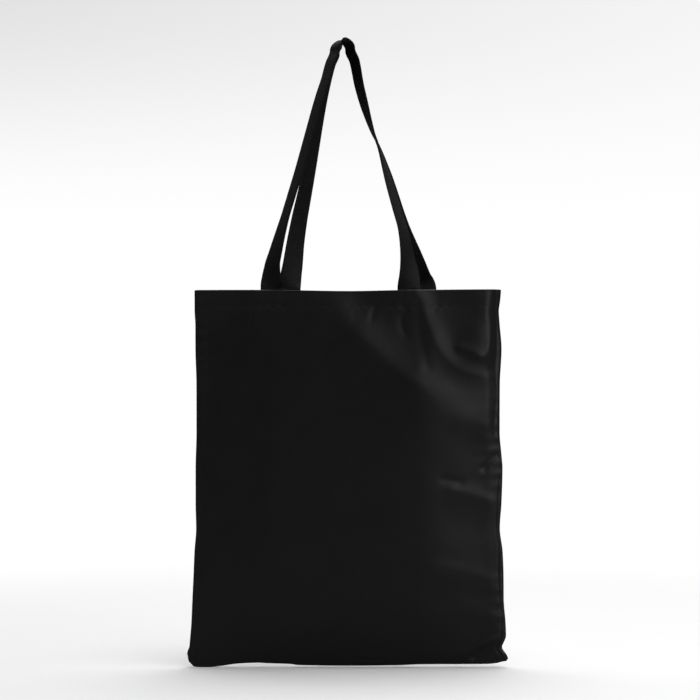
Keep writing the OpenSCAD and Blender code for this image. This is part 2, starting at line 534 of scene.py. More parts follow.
@dataclass(frozen=True)
class SatinFinish:
    """Black polyester satin: a fine even weave with a soft sheen and small crinkles.

    Args:
        name: The material's name.
        dark: The level of the darkest dye.
        light: The level of the lightest dye.
        painted_highlight_level: The level of the rubbed fold at the mouth and along the foot.
        gloss: The roughness where the cloth is smoothest.
        dull: The roughness where it is least smooth.
        shine: The strength of its gloss.
        patch_scale: How many patches of uneven dye there are to a metre.
        crinkle_scale: How many soft crinkles to a metre.
        crease_scale: How many fine creases to a metre.
        weave_pitch: From one yarn to the next.
        weave_height: How far the yarns stand out.
        crinkle_height: How far the crinkles stand out.
        mouth: The height of the mouth's fold.
    """

    name: str = "black_satin"
    dark: float = 0.0080
    light: float = 0.0112
    painted_highlight_level: float = 0.026
    gloss: float = 0.31
    dull: float = 0.37
    shine: float = 0.30
    patch_scale: float = 26.0
    crinkle_scale: float = 70.0
    crease_scale: float = 230.0
    weave_pitch: float = 0.45 * MM
    weave_height: float = 0.006 * MM
    crinkle_height: float = 0.10 * MM
    mouth: float = 0.420

    def make(self) -> bpy.types.Material:
        """Builds the material's nodes.

        Returns:
            The finished material.
        """
        material, shader = new_material(self.name)
        x, _, z, place = shader.object_place()
        turns = 2.0 * math.pi / self.weave_pitch
        warp = (x * turns).sine()
        weft = (z * turns).sine()
        slubs = shader.cloudy(shader.together(x * 30.0, 0.0, z * 1400.0), 1.0, 1.0)
        streaks = shader.cloudy(shader.together(x * 1100.0, 0.0, z * 22.0), 1.0, 1.0)
        patches = shader.cloudy(place, self.patch_scale, 3.0)
        crinkles = shader.cloudy(place, self.crinkle_scale)
        creases = shader.cloudy(place, self.crease_scale)
        height = (
            warp * weft * self.weave_height
            + crinkles * self.crinkle_height
            + creases * (self.crinkle_height * 0.16)
            + (slubs + streaks) * (self.weave_height * 0.8)
        )
        tone = patches * 0.45 + slubs * 0.3 + streaks * 0.25
        plain = shader.between(tone.step(0.25, 0.75), dyed(self.dark, -0.02), dyed(self.light, 0.01))
        # Painted highlight: a lighter dye in a thin band at the mouth's fold and along the foot, broken up by
        # the slubs, stands in for light catching the rolled mouth and for the floor's bounce light on the
        # foot.
        edge = (z - self.mouth).size().step(2.2 * MM, 0.4 * MM)
        foot = z.size().step(5.0 * MM, 0.5 * MM)
        painted_highlight_mask = edge.top(foot * 0.7) * slubs.step(0.3, 0.8)
        shader.surface(
            {
                "Base Color": shader.between(painted_highlight_mask, plain, dyed(self.painted_highlight_level)),
                "Roughness": self.gloss + patches * (self.dull - self.gloss) + slubs * 0.04,
                "Specular IOR Level": self.shine,
                "Normal": shader.bumped(height),
            }
        )
        return material


@dataclass(frozen=True)
class WebbingFinish:
    """Ribbed black strap webbing, whose yarns run along it and show as fine chevrons between the ribs."""

    name: str = "black_webbing"
    dark: float = 0.0026
    light: float = 0.0060
    gloss: float = 0.46
    shine: float = 0.28
    rib_pitch: float = 2.4 * MM
    yarn_pitch: float = 0.9 * MM
    yarn_height: float = 0.045 * MM

    def make(self) -> bpy.types.Material:
        """Builds the material's nodes.

        Returns:
            The finished material.
        """
        material, shader = new_material(self.name)
        along, across = shader.cloth_place()
        wave = (across * (2.0 * math.pi / self.yarn_pitch)).sine()
        rib = ((along + wave * (0.12 * self.rib_pitch)) * (2.0 * math.pi / self.rib_pitch)).sine()
        spun = shader.cloudy(shader.together(along * 260.0, across * 2600.0, 0.0), 1.0)
        patches = shader.cloudy(shader.together(along * 22.0, across * 40.0, 0.0), 1.0)
        height = (wave.size() + rib * 0.7 + spun * 0.6) * self.yarn_height
        tone = rib * 0.22 + spun * 0.45 + patches * 0.35
        shader.surface(
            {
                "Base Color": shader.between(tone.step(0.1, 0.75), dyed(self.dark), dyed(self.light, 0.01)),
                "Roughness": self.gloss + spun * 0.12,
                "Specular IOR Level": self.shine,
                "Normal": shader.bumped(height),
            }
        )
        return material


@dataclass(frozen=True)
class ThreadFinish:
    """Black sewing thread, twisted."""

    name: str = "black_thread"
    dark: float = 0.005
    light: float = 0.013
    twist_pitch: float = 0.7 * MM
    lint_scale: float = 1800.0

    def make(self) -> bpy.types.Material:
        """Builds the material's nodes.

        Returns:
            The finished material.
        """
        material, shader = new_material(self.name)
        x, y, z, place = shader.object_place()
        twist = ((x + y + z) * (2.0 * math.pi / self.twist_pitch)).sine()
        lint = shader.cloudy(place, self.lint_scale, 1.0)
        tone = (twist * 0.3 + lint * 0.7).step(0.2, 0.7)
        shader.surface(
            {
                "Base Color": shader.between(tone, dyed(self.dark), dyed(self.light)),
                "Roughness": 0.46 + lint * 0.15,
                "Specular IOR Level": 0.4,
                "Normal": shader.bumped(twist * (0.03 * MM) + lint * (0.02 * MM)),
            }
        )
        return material


# The bag


@dataclass(frozen=True)
class BagShape:
    """The plain hanging form of the bag that the CAD solids have, and how its edges really run.

    Args:
        height: From the bottom seam to the mouth.
        face_depth: How far a face's outside is from the middle plane where it is flat.
    """

    height: float
    face_depth: float
    mouth_half: float = 170.0 * MM
    lower_height: float = 140.0 * MM
    edge_depth: float = 2.05 * MM
    flat_share: float = 102.5 / 170.0
    low_flat_share: float = 0.44
    thinnest: float = 1.25 * MM
    seam_round: float = 4.0 * MM
    foot_round: float = 3.0 * MM
    seam_gap: float = 0.15 * MM
    foot_zone: float = 45.0 * MM
    mouth_zone: float = 70.0 * MM
    hem_zone: float = 22.0 * MM
    below_hem: float = 60.0 * MM
    left_edge: Curve = Curve((
        (0.000, 0.1725), (0.003, 0.1768), (0.008, 0.1781), (0.014, 0.1786), (0.021, 0.1765),
        (0.035, 0.1752), (0.048, 0.1742), (0.075, 0.1730), (0.101, 0.1718), (0.128, 0.1707),
        (0.155, 0.1688), (0.182, 0.1694), (0.222, 0.1694), (0.262, 0.1684), (0.315, 0.1685),
        (0.355, 0.1696), (0.382, 0.1697), (0.396, 0.1705), (0.420, 0.1706),
    ))
    right_edge: Curve = Curve((
        (0.000, 0.1772), (0.003, 0.1790), (0.008, 0.1772), (0.014, 0.1738), (0.019, 0.1722),
        (0.025, 0.1744), (0.034, 0.1768), (0.048, 0.1764), (0.075, 0.1743), (0.101, 0.1741),
        (0.128, 0.1731), (0.155, 0.1699), (0.182, 0.1717), (0.222, 0.1729), (0.235, 0.1719),
        (0.262, 0.1697), (0.315, 0.1699), (0.355, 0.1718), (0.382, 0.1697), (0.396, 0.1688),
        (0.409, 0.1704), (0.420, 0.1712),
    ))
    foot_line: Curve = Curve((
        (-0.177, 0.0030), (-0.170, 0.0004), (-0.155, 0.0000), (-0.143, 0.0010), (-0.121, 0.0040),
        (-0.100, 0.0048), (-0.088, 0.0042), (-0.063, 0.0034), (-0.055, 0.0022), (0.000, 0.0014),
        (0.057, 0.0020), (0.080, 0.0030), (0.155, 0.0034), (0.166, 0.0044), (0.177, 0.0066),
    ))
    mouth_line: Curve = Curve((
        (-0.170, 0.0004), (-0.100, 0.0002), (-0.060, -0.0002), (0.000, -0.0010), (0.060, 0.0000),
        (0.170, 0.0010),
    ))

    def side(self, half: Half, z: np.ndarray) -> np.ndarray:
        """How far the cloth's side edge is from the middle, at height z."""
        return (self.left_edge if half is Half.LEFT else self.right_edge).at(z)

    def height_at(self, x: np.ndarray, z: np.ndarray) -> np.ndarray:
        """The real height of the cloth's point at plain height z: the foot lifts and the mouth dips.

        Args:
            x: Places across the cloth.
            z: Plain heights, from 0 to the mouth.

        Returns:
            The real heights.
        """
        lifted = self.foot_line.at(x) * (1.0 - smooth(z / self.foot_zone))
        dipped = self.mouth_line.at(x) * smooth((z - self.height) / self.mouth_zone + 1.0)
        return z + lifted + dipped

    def plain_depth(self, share: np.ndarray, z: np.ndarray) -> np.ndarray:
        """How far a face's outside is from the middle plane on the CAD form.

        Args:
            share: The place across, from 0 at the middle to 1 at a side edge.
            z: The plain height.

        Returns:
            The distances.
        """
        lower = smooth((self.height - self.hem_zone - z) / self.below_hem)
        flat = self.flat_share + (self.low_flat_share - self.flat_share) * lower
        across = 1.0 - smooth((share - flat) / (1.0 - flat))
        upward = 1.0 - (1.0 - np.minimum(1.0, z / self.lower_height)) ** 2
        return self.edge_depth + (self.face_depth - self.edge_depth) * across * upward


@dataclass
class Panel:
    """One face of the bag with its turned hem: a single cloth, made as two halves that meet at the middle.

    Args:
        shape: The bag's form.
        face: Which face it is.
        folds: The folds in this face.
        ripples: Its gentle swells.
        strap_feet: Where the middle of each foot of its strap is.
        finish: Its material.
    """

    shape: BagShape
    face: Face
    folds: tuple[Fold, ...]
    ripples: tuple[Ripple, ...]
    strap_feet: dict[Half, float]
    finish: bpy.types.Material
    cloth: float = 0.4 * MM
    hem_width: float = 20.0 * MM
    hem_depth: float = 1.55 * MM
    hem_share: float = 160.0 / 170.0
    stitch_height: float = 402.0 * MM
    middle_column: float = 0.4 * MM
    near_seam: float = 12.0 * MM
    roll_steps: int = 9
    blend_start: float = 0.166
    blend_end: float = 0.098
    pucker_wave: float = 15.0 * MM
    pucker_height: float = 0.42 * MM
    pucker_reach: float = 11.0 * MM
    slow_wave: float = 47.0 * MM
    quick_wave: float = 19.0 * MM
    swell_wave: float = 31.0 * MM
    seam_line: float = 5.0 * MM
    seam_wander: float = 1.2 * MM
    seam_groove: float = 0.40 * MM
    tug_reach: float = 55.0 * MM
    dimple_wave: float = 1.7 * MM
    columns: np.ndarray = field(init=False)
    rows: np.ndarray = field(init=False)

    def __post_init__(self) -> None:
        """Lays out the columns across a half, and the rows up the face, over the edge and down the hem."""
        half, top = self.shape.mouth_half, self.shape.height
        wide = np.linspace(self.middle_column, half - self.near_seam, 79)
        near = np.linspace(half - self.near_seam, half - self.shape.seam_round, 9)[1:]
        last = half - self.shape.seam_round * (1.0 - np.sin(np.linspace(0.0, math.pi / 2, 9)))[1:]
        self.columns = np.concatenate([[0.0], wide, near, last]) / half
        hem_start, roll_start = top - self.shape.hem_zone, top - self.hem_depth / 2
        foot = self.shape.foot_round * (1.0 - np.cos(np.linspace(0.0, math.pi / 2, 6)))
        body = np.linspace(self.shape.foot_round, hem_start, 199)[1:]
        hem = np.linspace(hem_start, roll_start, 27)[1:]
        outside = np.concatenate([foot, body, hem])
        angles = np.linspace(0.0, math.pi, self.roll_steps + 2)[1:-1]
        roll = roll_start + self.hem_depth / 2 * np.sin(angles)
        inside = np.linspace(roll_start, top - self.hem_width, 12)
        heights = np.concatenate([outside, roll, inside])
        inward = np.concatenate([np.zeros(len(outside)), (1.0 - np.cos(angles)) / 2, np.ones(len(inside))])
        self.rows = np.stack([heights, inward], axis=1)

    def relief(self, x: np.ndarray, z: np.ndarray) -> np.ndarray:
        """How far folds and swells move the face outwards at these places."""
        return sum(wave.lift(x, z) for wave in (*self.folds, *self.ripples))

    def seam_puckers(self, x: np.ndarray, z: np.ndarray, inset: np.ndarray) -> np.ndarray:
        """The small gathers that a side seam pulls into the cloth.

        Args:
            x: Places across the face.
            z: Plain heights.
            inset: How far each place is from the side edge.

        Returns:
            The outward moves.
        """
        right = x > 0
        phase = np.where(right, 1.7, 0.4) + 2.2 * np.sin(z / self.slow_wave)
        phase = phase + 1.3 * np.sin(z / self.quick_wave + 1.0)
        strength = 0.55 + 0.45 * np.sin(z / self.swell_wave + np.where(right, 0.0, 2.0))
        wave = strength * np.sin(2.0 * math.pi * z / self.pucker_wave + phase)
        gathers = self.pucker_height * wave * np.exp(-inset / self.pucker_reach)
        wander = self.seam_line + self.seam_wander * np.sin(z / (13.0 * MM))
        return gathers - self.seam_groove * bell(inset - wander, 2.0 * MM)

    def hem_marks(self, x: np.ndarray, z: np.ndarray) -> np.ndarray:
        """The groove of the hem's stitches, the cloth drawn up under it, and the hem's swell and folded edge.

        Args:
            x: Places across the face.
            z: Plain heights.

        Returns:
            The outward moves.
        """
        tug = 0.35 + 0.65 * sum(bell(x - foot, self.tug_reach) for foot in self.strap_feet.values())
        beat = np.sin(x / self.dimple_wave + 1.5 * np.sin(x / (21.0 * MM))) * np.sin(x / (14.7 * MM) + 0.6)
        pull = tug * (0.5 + 0.5 * beat)
        up, down = z - self.stitch_height, z - self.shape.height
        marks = (
            (-0.50 * MM * pull, up, 2.8 * MM),
            (0.35 * MM * pull, up + 5.5 * MM, 4.5 * MM),
            (0.10 * MM, down + 9.0 * MM, 6.5 * MM),
            (-0.16 * MM, down + 3.2 * MM, 1.3 * MM),
        )
        return sum(height * bell(distance, width) for height, distance, width in marks)

    def depth(self, x: np.ndarray, z: np.ndarray, share: np.ndarray) -> np.ndarray:
        """How far the face's outside is from the middle plane.

        Args:
            x: Places across the face.
            z: Plain heights.
            share: The places across as a share of the way to the side edge.

        Returns:
            The distances, down to the seam's own gap at the side edges and the foot.
        """
        inset = (1.0 - share) * self.shape.mouth_half
        plain = self.shape.plain_depth(share, z)
        calm = smooth(inset / (16.0 * MM)) * 0.75 + 0.25
        wavy = plain + self.relief(x, z) * calm + self.seam_puckers(x, z, inset) + self.hem_marks(x, z)
        least = self.shape.thinnest
        spare = wavy - least
        full = least + 0.5 * (spare + np.sqrt(spare**2 + (0.5 * MM) ** 2))
        sideways = np.clip(inset / self.shape.seam_round, 0.0, 1.0)
        upward = np.clip(z / self.shape.foot_round, 0.0, 1.0)
        rounded = np.sqrt(1.0 - (1.0 - sideways) ** 2) * np.sqrt(1.0 - (1.0 - upward) ** 2)
        return self.shape.seam_gap + (full - self.shape.seam_gap) * rounded

    def point(self, share: np.ndarray, z: np.ndarray, inward: np.ndarray, half: Half) -> np.ndarray:
        """Points on the cloth.

        Args:
            share: The places across, from 0 at the middle to 1 at the side edge.
            z: Plain heights.
            inward: 0 on the outside, 1 on the turned hem, and between on the mouth's roll.
            half: Which half of the face.

        Returns:
            The points, one row each.
        """
        narrowed = share * (1.0 - (1.0 - self.hem_share) * inward * smooth((share - 0.55) / 0.45))
        x = half.value * narrowed * self.shape.side(half, z)
        outside = self.depth(x, z, narrowed)
        turned = np.minimum(self.hem_depth, np.maximum(outside - 1.02 * MM, 0.02 * MM))
        y = self.face.value * (outside - inward * turned)
        return np.stack([x, y, self.shape.height_at(x, z)], axis=-1)

    def outside_points(self, x: np.ndarray, z: np.ndarray, sunk: float = 0.0) -> list[Vector]:
        """Points on the outside, sunk in by a little.

        Args:
            x: The places across.
            z: The plain heights.
            sunk: How far in from the surface.

        Returns:
            The points.
        """
        found = np.zeros((len(x), 3))
        for half in Half:
            chosen = x * half.value > 0
            share = np.abs(x[chosen]) / self.shape.side(half, z[chosen])
            found[chosen] = self.point(share, z[chosen], np.zeros(share.shape), half)
        found[:, 1] -= self.face.value * sunk
        return [Vector(point) for point in found]

    def blend_from_seams(self, piece: bpy.types.Object, half: Half) -> None:
        """Bakes the piece's place into its mesh; the span from the side edge towards the middle is worked out
        but not used.
        """
        start, end = half.value * self.blend_start, half.value * self.blend_end
        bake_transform(piece)

    def build(self, hung_from: str) -> list[bpy.types.Object]:
        """Makes and dresses the two halves.

        Args:
            hung_from: The name of the strap that the face hangs from. Not used.

        Returns:
            The two pieces.
        """
        pieces = []
        label = self.face.label
        for half in Half:
            size = (self.shape.mouth_half, self.shape.height + self.hem_width)
            mesh = woven_grid(
                len(self.columns) - 1,
                len(self.rows) - 1,
                lambda i, j: self.point(self.columns[i], self.rows[j, 0], self.rows[j, 1], half),
                size,
            )
            solid = with_thickness(mesh, self.cloth, flip=half.value * self.face.value > 0)
            piece = place_piece(f"{label}_cloth_{half.label}", solid, self.finish)
            self.blend_from_seams(piece, half)
            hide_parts(f"{label}_panel", f"{label}_hem")
            pieces.append(piece)
        return pieces


@dataclass(frozen=True)
class StrapLeg:
    """Where one leg of a strap runs, from its foot at 0 to the top at 1.

    Args:
        way: The place of its middle line across the bag.
        turn: How far it has turned, in degrees: flat to the face at 0 and 180, edge on at 90.
    """

    way: Curve
    turn: Curve


@dataclass
class Strap:
    """A handle: webbing sewn to the hem at both ends, edge on higher up and folded over at the top.

    Args:
        panel: The face that it is sewn to.
        legs: Its two legs.
        finish: Its material.
    """

    panel: Panel
    legs: dict[Half, StrapLeg]
    finish: bpy.types.Material
    width: float = 25.0 * MM
    thickness: float = 1.36 * MM
    hang_x: float = -5.5 * MM
    fold_half: float = 8.6 * MM
    fold_rise: float = 10.2 * MM
    fold_point: float = 1.7
    foot_z: float = 421.0 * MM
    top_z: float = 687.0 * MM
    sewn_z: float = 400.3 * MM
    box_z: float = 411.0 * MM
    foot_depth: float = 9.65 * MM
    top_depth: float = 13.5 * MM
    rib_pitch: float = 2.4 * MM
    rib_height: float = 0.085 * MM
    ring_step: float = 0.6 * MM
    cup: float = 0.35 * MM
    bend_low: float = 420.5 * MM
    bend_high: float = 428.5 * MM
    bend_depth: float = 1.95 * MM

    def leg(self, half: Half) -> tuple[np.ndarray, np.ndarray]:
        """One leg's middle line from foot to top, and the turn at each of its points in radians."""
        share = np.linspace(0.0, 1.0, 400)
        turn = np.radians(self.legs[half].turn.at(share))
        depth = self.foot_depth + (self.top_depth - self.foot_depth) * np.sin(turn)
        z = self.foot_z + (self.top_z - self.foot_z) * share
        return np.stack([self.legs[half].way.at(share), self.panel.face.value * depth, z], axis=1), turn

    def sewn_end(self, half: Half) -> tuple[np.ndarray, np.ndarray]:
        """The flat end inside the hem, from its cut edge up to the mouth, and the turn at each point."""
        panel = self.panel
        z = np.linspace(self.sewn_z, self.foot_z, 30)[:-1]
        x = np.full(z.shape, panel.strap_feet[half])
        moved = panel.depth(x, np.full(z.shape, self.box_z), np.abs(x) / panel.shape.mouth_half)
        moved = np.maximum(moved - panel.shape.face_depth, -0.1 * MM)
        y = panel.face.value * (self.foot_depth + moved * smooth((self.bend_low - z) / (10.0 * MM)))
        return np.stack([x, y, z], axis=1), np.full(z.shape, 0.0 if half is Half.LEFT else math.pi)

    def middle_line(self) -> tuple[np.ndarray, np.ndarray]:
        """The whole strap's middle line from end to end.

        Returns:
            Points an even step apart, and the turn at each in radians.
        """
        left, left_turn = self.leg(Half.LEFT)
        right, right_turn = self.leg(Half.RIGHT)
        first, first_turn = self.sewn_end(Half.LEFT)
        last, last_turn = self.sewn_end(Half.RIGHT)
        angle = np.linspace(math.pi, 0.0, 40)[1:-1]
        level = np.ones(angle.shape)
        spread = np.sign(np.cos(angle)) * np.abs(np.cos(angle)) ** self.fold_point
        rise = self.top_z + self.fold_rise * np.sin(angle)
        over = np.stack([self.hang_x + self.fold_half * spread, left[-1, 1] * level, rise], axis=1)
        over_turn = left_turn[-1] * level
        points = np.concatenate([first, left, over, right[::-1], last[::-1]])
        turns = np.concatenate([first_turn, left_turn, over_turn, right_turn[::-1], last_turn[::-1]])
        run = run_along(points)
        even = np.linspace(0.0, run[-1], int(run[-1] / self.ring_step))
        return points_along(points, even), np.interp(even, run, turns)

    def section(self) -> np.ndarray:
        """The strap's cross-section as pairs of share across and share of thickness, closed."""
        flat = np.linspace(-0.97, 0.97, 11)
        edge = 1.0 - 0.22 * bell(np.abs(flat) - 0.90, 0.05) + 0.10 * bell(np.abs(flat) - 0.97, 0.04)
        front = np.stack([flat, edge], axis=1)
        back = np.stack([flat[::-1], -edge[::-1]], axis=1)
        right, left = [[1.0, 0.45], [1.0, -0.45]], [[-1.0, -0.45], [-1.0, 0.45]]
        return np.concatenate([front, right, back, left, front[:1]])

    def build(self) -> bpy.types.Object:
        """Makes and dresses the strap.

        Returns:
            The finished piece.
        """
        points, turns = self.middle_line()
        kernel = np.ones(9) / 9.0
        padded = np.pad(np.gradient(points, axis=0), ((4, 4), (0, 0)), mode="edge")
        eased = [np.convolve(padded[:, k], kernel, mode="valid") for k in range(3)]
        along = unit_rows(np.stack(eased, axis=1))
        side = self.panel.face.value
        level = np.stack([np.cos(turns), side * np.sin(turns), np.zeros(turns.shape)], axis=1)
        wide = unit_rows(level - np.sum(level * along, axis=1, keepdims=True) * along)
        thick = np.cross(along, wide)
        run = run_along(points)
        rib = self.rib_height * np.cos(2.0 * math.pi * run / self.rib_pitch)
        free = smooth((points[:, 2] - self.foot_z) / (50.0 * MM))
        section = self.section()
        across = section[:, 0] * self.width / 2
        cupped = self.cup * (section[:, 0] ** 2 - 0.4)
        deep = section[None, :, 1] * (self.thickness / 2 + rib[:, None]) + cupped[None, :] * free[:, None]
        rims = across[None, :, None] * wide[:, None, :] + deep[:, :, None] * thick[:, None, :]
        size = (run[-1], 2.0 * (self.width + self.thickness))
        label = self.panel.face.label
        piece = place_piece(f"{label}_strap", closed_sweep(points, rims, size), self.finish, sharp=70.0)
        depth = side * (self.foot_depth + self.bend_depth)
        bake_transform(piece)
        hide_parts(f"{label}_handle", f"{label}_handle_ends")
        return piece


@dataclass
class FaceStitching:
    """The stitches that show on one face: the hem's row, and a crossed box at each foot of the strap.

    Args:
        panel: The face.
        finish: The thread's material.
    """

    panel: Panel
    finish: bpy.types.Material
    thread: float = 0.42 * MM
    pitch: float = 3.2 * MM
    stitch: float = 2.5 * MM
    sunk: float = 0.05 * MM
    row_start: float = 0.6 * MM
    row_end: float = 156.0 * MM

    def run(self, start: tuple[float, float], end: tuple[float, float]) -> list[tuple[Vector, Vector]]:
        """Even stitches on the cloth between two places (x, z).

        Args:
            start: Where the run starts.
            end: Where it ends.

        Returns:
            The two ends of each stitch.
        """
        first, last = Vector(start), Vector(end)
        count = max(1, round((last - first).length / self.pitch))
        step = (last - first) / count
        spare = step * (1.0 - self.stitch / self.pitch) / 2
        ends = [(first + step * k + spare, first + step * (k + 1) - spare) for k in range(count)]
        spots = np.array([[*a, *b] for a, b in ends])
        heads = self.panel.outside_points(spots[:, 0], spots[:, 1], self.sunk)
        tails = self.panel.outside_points(spots[:, 2], spots[:, 3], self.sunk)
        return list(zip(heads, tails))

    def hem_row(self, half: Half) -> bpy.types.Object:
        """One half of the row that holds the hem.

        Args:
            half: Which half.

        Returns:
            The piece.
        """
        label = self.panel.face.label
        z = self.panel.stitch_height
        stitches = self.run((half.value * self.row_start, z), (half.value * self.row_end, z))
        mesh = stitched_mesh(stitches, self.thread)
        piece = place_piece(f"{label}_hem_stitches_{half.label}", mesh, self.finish)
        self.panel.blend_from_seams(piece, half)
        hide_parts(f"{label}_hem_stitching")
        return piece

    def crossed_box(self, node: str) -> bpy.types.Object:
        """The box with a cross in it that holds one foot of the strap.

        Args:
            node: The CAD node that it stands for, which says where it is.

        Returns:
            The piece.
        """
        low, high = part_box(node)
        corners = [(low.x, low.z), (high.x, low.z), (high.x, high.z), (low.x, high.z)]
        lines = [*zip(corners, corners[1:] + corners[:1]), (corners[0], corners[2]), (corners[1], corners[3])]
        stitches = [stitch for start, end in lines for stitch in self.run(start, end)]
        piece = place_piece(f"{node}_box", stitched_mesh(stitches, self.thread), self.finish)
        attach(piece, f"{self.panel.face.label}_side")
        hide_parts(node)
        return piece

    def build(self) -> list[bpy.types.Object]:
        """Makes all of this face's stitches."""
        label = self.panel.face.label
        rows = [self.hem_row(half) for half in Half]
        return rows + [self.crossed_box(f"{label}_{half.label}_tack") for half in Half]


@dataclass
class SeamInside:
    """The seam allowances inside the bag: two plies each, overlocked along the raw edge and sewn through.

    Args:
        shape: The bag's form.
        cloth: The plies' material.
        thread: The thread's material.
    """

    shape: BagShape
    cloth: bpy.types.Material
    thread: bpy.types.Material
    inset: float = 1.6 * MM
    reach: float = 9.0 * MM
    ply: float = 0.55 * MM
    loop_pitch: float = 2.6 * MM
    loop_reach: float = 2.2 * MM
    loop_thread: float = 0.26 * MM
    loop_points: int = 10
    stitch_pitch: float = 3.2 * MM
    stitch: float = 2.5 * MM
    stitch_thread: float = 0.38 * MM
    sewn_in: float = 3.6 * MM
    sewn_heights: tuple[float, float] = (10.0 * MM, 414.0 * MM)
    foot_half: float = 158.0 * MM
    foot_sewn_half: float = 156.5 * MM
    foot_heights: tuple[float, float, float] = (1.4 * MM, 9.0 * MM, 4.6 * MM)

    def side_path(self, half: Half, inset: float, z: np.ndarray) -> np.ndarray:
        """Points on the middle plane, this far inside a side edge."""
        x = half.value * (self.shape.side(half, z) - inset)
        return np.stack([x, np.zeros(z.shape), self.shape.height_at(x, z)], axis=1)

    def foot_path(self, inset: float, x: np.ndarray) -> np.ndarray:
        """Points on the middle plane, this far above the bottom edge."""
        z = self.shape.height_at(x, np.full(x.shape, inset))
        return np.stack([x, np.zeros(x.shape), z], axis=1)

    def plies(self, name: str, outer: np.ndarray, raw: np.ndarray) -> bpy.types.Object:
        """The two plies between the line by the seam and the raw edge.

        Args:
            name: The piece's name.
            outer: The line by the seam.
            raw: The raw edge's line.

        Returns:
            The piece, riding with the seams.
        """
        wide = raw - outer
        reach = float(np.linalg.norm(wide[0]))
        across = np.array([0.0, 0.25, 0.5, 0.75, 1.0, 1.0, 0.75, 0.5, 0.25, 0.0, 0.0])
        gap = self.ply * np.array([0.9, 1.0, 1.06, 1.0, 0.75, -0.75, -1.0, -1.06, -1.0, -0.9, 0.9])
        waves = 1.0 + 0.10 * np.sin(np.arange(len(outer)) * 0.9)[:, None]
        depth = np.zeros((len(outer), len(gap), 3))
        depth[:, :, 1] = gap[None, :] * waves
        rims = across[None, :, None] * wide[:, None, :] + depth
        mesh = closed_sweep(outer, rims, (reach, reach))
        piece = place_piece(name, mesh, self.cloth)
        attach(piece, "seams")
        return piece

    def overlock(self, name: str, edge: np.ndarray, inward: np.ndarray) -> bpy.types.Object:
        """The thread wound over a raw edge.

        Args:
            name: The piece's name.
            edge: Even points along the raw edge.
            inward: The way from the edge back into the ply.

        Returns:
            The piece, riding with the seams.
        """
        length = run_along(edge)[-1]
        count = int(length / self.loop_pitch * self.loop_points)
        line = points_along(edge, np.linspace(0.0, length, count))
        angle = 2.0 * math.pi * np.arange(count) / self.loop_points
        back = self.loop_reach * (0.5 - 0.5 * np.cos(angle)) - 0.35 * MM
        line = line + back[:, None] * inward[None, :]
        line[:, 1] += (self.ply + 0.18 * MM) * np.sin(angle)
        along = unit_rows(np.gradient(line, axis=0))
        first = unit_rows(np.cross(along, np.array([0.31, 0.77, 0.55])))
        second = np.cross(along, first)
        corner = np.linspace(0.0, 2.0 * math.pi, 5)[None, :, None]
        rims = np.cos(corner) * first[:, None, :] + np.sin(corner) * second[:, None, :]
        rims = self.loop_thread / 2 * rims
        piece = place_piece(name, closed_sweep(line, rims, (1.0, 1.0)), self.thread, sharp=180.0)
        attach(piece, "seams")
        return piece

    def sewn_line(self, name: str, line: np.ndarray, node: str) -> bpy.types.Object:
        """The stitches that hold a seam, on both outer faces of the plies.

        Args:
            name: The piece's name.
            line: Points along the line of stitches.
            node: The CAD node that they stand for.

        Returns:
            The piece, riding with the seams.
        """
        starts = np.arange(0.0, run_along(line)[-1] - self.stitch, self.stitch_pitch)
        stitches = []
        for side, late in ((-1.0, 0.0), (1.0, 0.4 * MM)):
            out = np.array([0.0, side * (self.ply + 0.06 * MM), 0.0])
            heads, tails = (points_along(line, starts + late + more) + out for more in (0.0, self.stitch))
            stitches += [(Vector(head), Vector(tail)) for head, tail in zip(heads, tails)]
        piece = place_piece(name, stitched_mesh(stitches, self.stitch_thread), self.thread)
        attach(piece, "seams")
        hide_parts(node)
        return piece

    def seam(
        self, label: str, lines: Sequence[np.ndarray], way: tuple[float, float, float], nodes: tuple[str, str]
    ) -> list[bpy.types.Object]:
        """One seam's plies, its overlock and its stitches.

        Args:
            label: What the pieces' names start with.
            lines: The line by the seam, the raw edge and the line of stitches.
            way: The way from the raw edge back into the plies.
            nodes: The CAD nodes that the plies and the stitches stand for.

        Returns:
            The three pieces.
        """
        outer, raw, sewn = lines
        plies = self.plies(f"{label}_seam_plies", outer, raw)
        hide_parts(nodes[0])
        overlock = self.overlock(f"{label}_seam_overlock", raw, np.array(way))
        return [plies, overlock, self.sewn_line(f"{label}_seam_stitches", sewn, nodes[1])]

    def build(self) -> list[bpy.types.Object]:
        """Makes the two side seams and the bottom seam."""
        pieces = []
        z = np.linspace(1.5 * MM, self.shape.height - 2.0 * MM, 160)
        sewn_z = np.linspace(*self.sewn_heights, 200)
        for half in Half:
            spots = ((self.inset, z), (self.inset + self.reach, z), (self.inset + self.sewn_in, sewn_z))
            lines = [self.side_path(half, inset, heights) for inset, heights in spots]
            nodes = (f"{half.label}_side_seam", f"{half.label}_side_stitching")
            pieces += self.seam(half.label, lines, (half.value, 0.0, 0.0), nodes)
        x = np.linspace(-self.foot_half, self.foot_half, 150)
        sewn_x = np.linspace(-self.foot_sewn_half, self.foot_sewn_half, 160)
        low, high, sewn_up = self.foot_heights
        lines = [self.foot_path(low, x), self.foot_path(high, x), self.foot_path(sewn_up, sewn_x)]
        return pieces + self.seam("foot", lines, (0.0, 0.0, -1.0), ("bottom_seam", "bottom_stitching"))


# The studio


